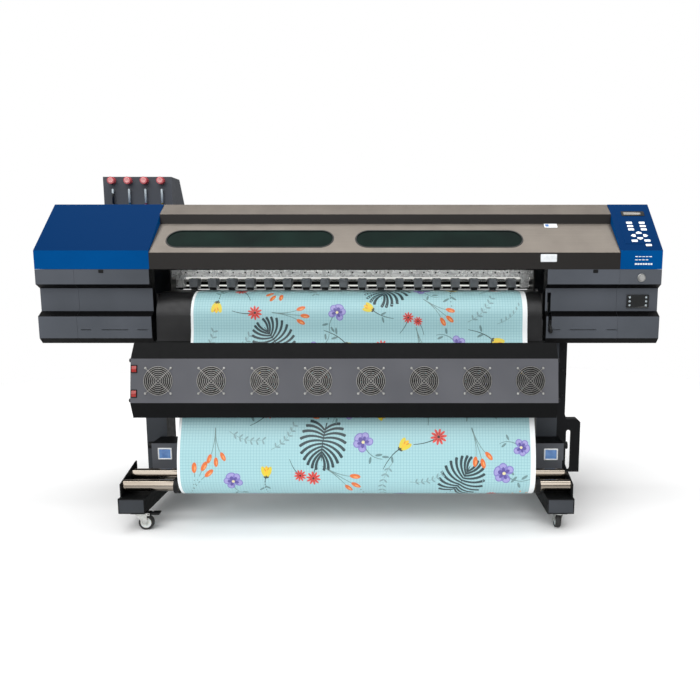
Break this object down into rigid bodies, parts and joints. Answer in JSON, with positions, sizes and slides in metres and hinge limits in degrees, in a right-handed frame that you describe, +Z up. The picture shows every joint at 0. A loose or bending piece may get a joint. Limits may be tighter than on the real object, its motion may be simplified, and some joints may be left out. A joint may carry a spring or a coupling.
{
  "type": "wide format roll printer cutter",
  "caption": "Roll-fed large-format printer and cutter on a castored stand, with a hinged cover, hanging fan dryer, front winder rollers and a rear ink tank.",
  "frame": {"origin": "centre of the footprint's bounding box on the floor", "axes": "+X along the machine to the operator's right, +Y from the operator to the back, +Z up"},
  "size_m": [2.79, 0.917, 1.575],
  "materials": {
    "feet": "satin powder coat",
    "legs": "satin powder coat",
    "stretcher": "satin powder coat",
    "roller_side_plates": "satin powder coat",
    "front_winder_roller": "polished",
    "rear_winder_roller": "polished",
    "motor_boxes": "satin powder coat",
    "left_clamp_knob": "moulded",
    "right_clamp_knob": "moulded",
    "slotted_bracket": "satin powder coat",
    "media_web": "printed banner vinyl",
    "supply_roll": "wound banner vinyl",
    "supply_brackets": "satin powder coat",
    "dryer_housing": "fine textured powder coat",
    "heater_lamps": "quartz tube",
    "upper_rocker_switch": "moulded",
    "lower_rocker_switch": "moulded",
    "fan_frames": "moulded",
    "fan_guards": "plated wire",
    "base_beam": "mill finish",
    "left_end_housing": "fine textured powder coat",
    "right_end_housing": "fine textured powder coat",
    "left_top_cover": "gloss lacquer",
    "right_top_cover": "gloss lacquer",
    "front_cover": "satin metallic lacquer",
    "cover_windows": "tinted acrylic",
    "rear_cover": "satin metallic lacquer",
    "platen": "dark anodised",
    "feed_roller": "grit blasted",
    "pinch_rail": "plated",
    "pinch_arms": "moulded",
    "pinch_rollers": "ground",
    "lift_lever": "moulded over steel",
    "guide_beam": "anodised",
    "carriage": "moulded",
    "blade_holder": "anodised",
    "ink_tank": "fine textured powder coat",
    "power_button": "moulded",
    "caster_fork_front_left": "zinc plated",
    "caster_wheel_front_left": "moulded",
    "caster_fork_front_right": "zinc plated",
    "caster_wheel_front_right": "moulded",
    "caster_fork_rear_left": "zinc plated",
    "caster_wheel_rear_left": "moulded",
    "caster_fork_rear_right": "zinc plated",
    "caster_wheel_rear_right": "moulded",
    "brake_pedal_front_left": "moulded",
    "brake_pedal_front_right": "moulded",
    "fan_impeller_1": "moulded",
    "fan_impeller_2": "moulded",
    "fan_impeller_3": "moulded",
    "fan_impeller_4": "moulded",
    "fan_impeller_5": "moulded",
    "fan_impeller_6": "moulded",
    "fan_impeller_7": "moulded",
    "fan_impeller_8": "moulded",
    "ink_cap_1": "moulded",
    "ink_cap_2": "moulded",
    "ink_cap_3": "moulded",
    "ink_cap_4": "moulded"
  },
  "bodies": {
    "frame": {"feet": "feet", "legs": "legs", "stretcher": "stretcher", "roller_side_plates": "roller_side_plates", "motor_boxes": "motor_boxes", "slotted_bracket": "slotted_bracket", "media_web": "media_web", "supply_brackets": "supply_brackets", "dryer_housing": "dryer_housing", "heater_lamps": "heater_lamps", "fan_frames": "fan_frames", "fan_guards": "fan_guards", "base_beam": "base_beam", "left_end_housing": "left_end_housing", "right_end_housing": "right_end_housing", "left_top_cover": "left_top_cover", "right_top_cover": "right_top_cover", "rear_cover": "rear_cover", "platen": "platen", "pinch_rail": "pinch_rail", "guide_beam": "guide_beam", "ink_tank": "ink_tank"},
    "front_cover": {"front_cover": "front_cover", "cover_windows": "cover_windows"},
    "front_winder_roller": {"front_winder_roller": "front_winder_roller"},
    "rear_winder_roller": {"rear_winder_roller": "rear_winder_roller"},
    "left_clamp_knob": {"left_clamp_knob": "left_clamp_knob"},
    "right_clamp_knob": {"right_clamp_knob": "right_clamp_knob"},
    "supply_roll": {"supply_roll": "supply_roll"},
    "upper_rocker_switch": {"upper_rocker_switch": "upper_rocker_switch"},
    "lower_rocker_switch": {"lower_rocker_switch": "lower_rocker_switch"},
    "feed_roller": {"feed_roller": "feed_roller"},
    "pinch_arms": {"pinch_arms": "pinch_arms"},
    "pinch_rollers": {"pinch_rollers": "pinch_rollers"},
    "lift_lever": {"lift_lever": "lift_lever"},
    "carriage": {"carriage": "carriage"},
    "blade_holder": {"blade_holder": "blade_holder"},
    "power_button": {"power_button": "power_button"},
    "caster_fork_front_left": {"caster_fork_front_left": "caster_fork_front_left"},
    "caster_fork_front_right": {"caster_fork_front_right": "caster_fork_front_right"},
    "caster_fork_rear_left": {"caster_fork_rear_left": "caster_fork_rear_left"},
    "caster_fork_rear_right": {"caster_fork_rear_right": "caster_fork_rear_right"},
    "caster_wheel_front_left": {"caster_wheel_front_left": "caster_wheel_front_left"},
    "caster_wheel_front_right": {"caster_wheel_front_right": "caster_wheel_front_right"},
    "caster_wheel_rear_left": {"caster_wheel_rear_left": "caster_wheel_rear_left"},
    "caster_wheel_rear_right": {"caster_wheel_rear_right": "caster_wheel_rear_right"},
    "brake_pedal_front_left": {"brake_pedal_front_left": "brake_pedal_front_left"},
    "brake_pedal_front_right": {"brake_pedal_front_right": "brake_pedal_front_right"},
    "fan_impeller_1": {"fan_impeller_1": "fan_impeller_1"},
    "fan_impeller_2": {"fan_impeller_2": "fan_impeller_2"},
    "fan_impeller_3": {"fan_impeller_3": "fan_impeller_3"},
    "fan_impeller_4": {"fan_impeller_4": "fan_impeller_4"},
    "fan_impeller_5": {"fan_impeller_5": "fan_impeller_5"},
    "fan_impeller_6": {"fan_impeller_6": "fan_impeller_6"},
    "fan_impeller_7": {"fan_impeller_7": "fan_impeller_7"},
    "fan_impeller_8": {"fan_impeller_8": "fan_impeller_8"},
    "ink_cap_1": {"ink_cap_1": "ink_cap_1"},
    "ink_cap_2": {"ink_cap_2": "ink_cap_2"},
    "ink_cap_3": {"ink_cap_3": "ink_cap_3"},
    "ink_cap_4": {"ink_cap_4": "ink_cap_4"}
  },
  "joints": [
    {"name": "caster_swivel_front_left", "type": "hinge", "parent": "frame", "child": "caster_fork_front_left", "pos_m": [-0.896, -0.3945, 0.0765], "axis": [0, 0, 1], "continuous": true},
    {"name": "caster_roll_front_left", "type": "hinge", "parent": "caster_fork_front_left", "child": "caster_wheel_front_left", "pos_m": [-0.87, -0.3945, 0.032], "axis": [0, 1, 0], "continuous": true},
    {"name": "brake_front_left", "type": "hinge", "parent": "caster_fork_front_left", "child": "brake_pedal_front_left", "pos_m": [-0.856, -0.3945, 0.0715], "axis": [0, 1, 0], "range_deg": [0, 12]},
    {"name": "caster_swivel_front_right", "type": "hinge", "parent": "frame", "child": "caster_fork_front_right", "pos_m": [0.918, -0.3945, 0.0765], "axis": [0, 0, 1], "continuous": true},
    {"name": "caster_roll_front_right", "type": "hinge", "parent": "caster_fork_front_right", "child": "caster_wheel_front_right", "pos_m": [0.918, -0.3685, 0.032], "axis": [-1, 0, 0], "continuous": true},
    {"name": "brake_front_right", "type": "hinge", "parent": "caster_fork_front_right", "child": "brake_pedal_front_right", "pos_m": [0.918, -0.3545, 0.0715], "axis": [-1, 0, 0], "range_deg": [0, 12]},
    {"name": "caster_swivel_rear_left", "type": "hinge", "parent": "frame", "child": "caster_fork_rear_left", "pos_m": [-0.918, 0.3125, 0.0765], "axis": [0, 0, 1], "continuous": true},
    {"name": "caster_roll_rear_left", "type": "hinge", "parent": "caster_fork_rear_left", "child": "caster_wheel_rear_left", "pos_m": [-0.90579, 0.33546, 0.032], "axis": [-0.8829, 0.4695, 0], "continuous": true},
    {"name": "caster_swivel_rear_right", "type": "hinge", "parent": "frame", "child": "caster_fork_rear_right", "pos_m": [0.918, 0.3125, 0.0765], "axis": [0, 0, 1], "continuous": true},
    {"name": "caster_roll_rear_right", "type": "hinge", "parent": "caster_fork_rear_right", "child": "caster_wheel_rear_right", "pos_m": [0.90701, 0.33606, 0.032], "axis": [-0.9063, -0.4226, 0], "continuous": true},
    {"name": "front_roller_spin", "type": "hinge", "parent": "frame", "child": "front_winder_roller", "pos_m": [0, -0.3665, 0.188], "axis": [1, 0, 0], "continuous": true},
    {"name": "rear_roller_spin", "type": "hinge", "parent": "frame", "child": "rear_winder_roller", "pos_m": [0, -0.2715, 0.206], "axis": [1, 0, 0], "continuous": true},
    {"name": "left_knob_turn", "type": "hinge", "parent": "frame", "child": "left_clamp_knob", "pos_m": [-0.908, -0.1635, 0.308], "axis": [1, 0, 0], "continuous": true},
    {"name": "right_knob_turn", "type": "hinge", "parent": "frame", "child": "right_clamp_knob", "pos_m": [0.98, -0.1635, 0.308], "axis": [1, 0, 0], "continuous": true},
    {"name": "supply_spin", "type": "hinge", "parent": "frame", "child": "supply_roll", "pos_m": [0, 0.3315, 0.6], "axis": [1, 0, 0], "continuous": true},
    {"name": "upper_switch_rock", "type": "hinge", "parent": "frame", "child": "upper_rocker_switch", "pos_m": [-0.87, -0.43526, 0.71172], "axis": [1, 0, 0], "range_deg": [-7, 7]},
    {"name": "lower_switch_rock", "type": "hinge", "parent": "frame", "child": "lower_rocker_switch", "pos_m": [-0.87, -0.4514, 0.61101], "axis": [1, 0, 0], "range_deg": [-7, 7]},
    {"name": "fan_spin_1", "type": "hinge", "parent": "frame", "child": "fan_impeller_1", "pos_m": [-0.77, -0.42623, 0.66065], "axis": [0, -0.9874, 0.1582], "continuous": true},
    {"name": "fan_spin_2", "type": "hinge", "parent": "frame", "child": "fan_impeller_2", "pos_m": [-0.55, -0.42623, 0.66065], "axis": [0, -0.9874, 0.1582], "continuous": true},
    {"name": "fan_spin_3", "type": "hinge", "parent": "frame", "child": "fan_impeller_3", "pos_m": [-0.33, -0.42623, 0.66065], "axis": [0, -0.9874, 0.1582], "continuous": true},
    {"name": "fan_spin_4", "type": "hinge", "parent": "frame", "child": "fan_impeller_4", "pos_m": [-0.11, -0.42623, 0.66065], "axis": [0, -0.9874, 0.1582], "continuous": true},
    {"name": "fan_spin_5", "type": "hinge", "parent": "frame", "child": "fan_impeller_5", "pos_m": [0.11, -0.42623, 0.66065], "axis": [0, -0.9874, 0.1582], "continuous": true},
    {"name": "fan_spin_6", "type": "hinge", "parent": "frame", "child": "fan_impeller_6", "pos_m": [0.33, -0.42623, 0.66065], "axis": [0, -0.9874, 0.1582], "continuous": true},
    {"name": "fan_spin_7", "type": "hinge", "parent": "frame", "child": "fan_impeller_7", "pos_m": [0.55, -0.42623, 0.66065], "axis": [0, -0.9874, 0.1582], "continuous": true},
    {"name": "fan_spin_8", "type": "hinge", "parent": "frame", "child": "fan_impeller_8", "pos_m": [0.77, -0.42623, 0.66065], "axis": [0, -0.9874, 0.1582], "continuous": true},
    {"name": "cover_hinge", "type": "hinge", "parent": "frame", "child": "front_cover", "pos_m": [0.16, 0.1485, 1.41775], "axis": [-1, 0, 0], "range_deg": [0, 70]},
    {"name": "feed_spin", "type": "hinge", "parent": "frame", "child": "feed_roller", "pos_m": [0, 0.0935, 1.00165], "axis": [1, 0, 0], "continuous": true},
    {"name": "pinch_lift", "type": "hinge", "parent": "frame", "child": "pinch_arms", "pos_m": [0, 0.1285, 1.062], "axis": [-1, 0, 0], "range_deg": [0, 8]},
    {"name": "pinch_spin", "type": "hinge", "parent": "pinch_arms", "child": "pinch_rollers", "pos_m": [0, 0.0935, 1.0266], "axis": [1, 0, 0], "continuous": true},
    {"name": "lever_lift", "type": "hinge", "parent": "frame", "child": "lift_lever", "pos_m": [0.904, -0.0715, 0.95], "axis": [-1, 0, 0], "range_deg": [0, 45]},
    {"name": "carriage_travel", "type": "slide", "parent": "frame", "child": "carriage", "axis": [1, 0, 0], "range_m": [-2.12, 0.1]},
    {"name": "blade_drop", "type": "slide", "parent": "carriage", "child": "blade_holder", "axis": [0, 0, -1], "range_m": [0, 0.004], "stiffness_N_per_m": 3000, "springref_m": -0.002},
    {"name": "power_press", "type": "slide", "parent": "frame", "child": "power_button", "axis": [0, 1, 0], "range_m": [0, 0.003], "stiffness_N_per_m": 400},
    {"name": "cap_pull_1", "type": "slide", "parent": "frame", "child": "ink_cap_1", "axis": [0, -1, 0], "range_m": [0, 0.04]},
    {"name": "cap_pull_2", "type": "slide", "parent": "frame", "child": "ink_cap_2", "axis": [0, -1, 0], "range_m": [0, 0.04]},
    {"name": "cap_pull_3", "type": "slide", "parent": "frame", "child": "ink_cap_3", "axis": [0, -1, 0], "range_m": [0, 0.04]},
    {"name": "cap_pull_4", "type": "slide", "parent": "frame", "child": "ink_cap_4", "axis": [0, -1, 0], "range_m": [0, 0.04]}
  ],
  "couplings": [
    {"joint": "rear_roller_spin", "follows": "front_roller_spin", "ratio": 1},
    {"joint": "pinch_lift", "follows": "lever_lift", "ratio": 0.17778},
    {"joint": "feed_spin", "follows": "supply_spin", "ratio": -6.8},
    {"joint": "pinch_spin", "follows": "supply_spin", "ratio": 7.7273}
  ]
}
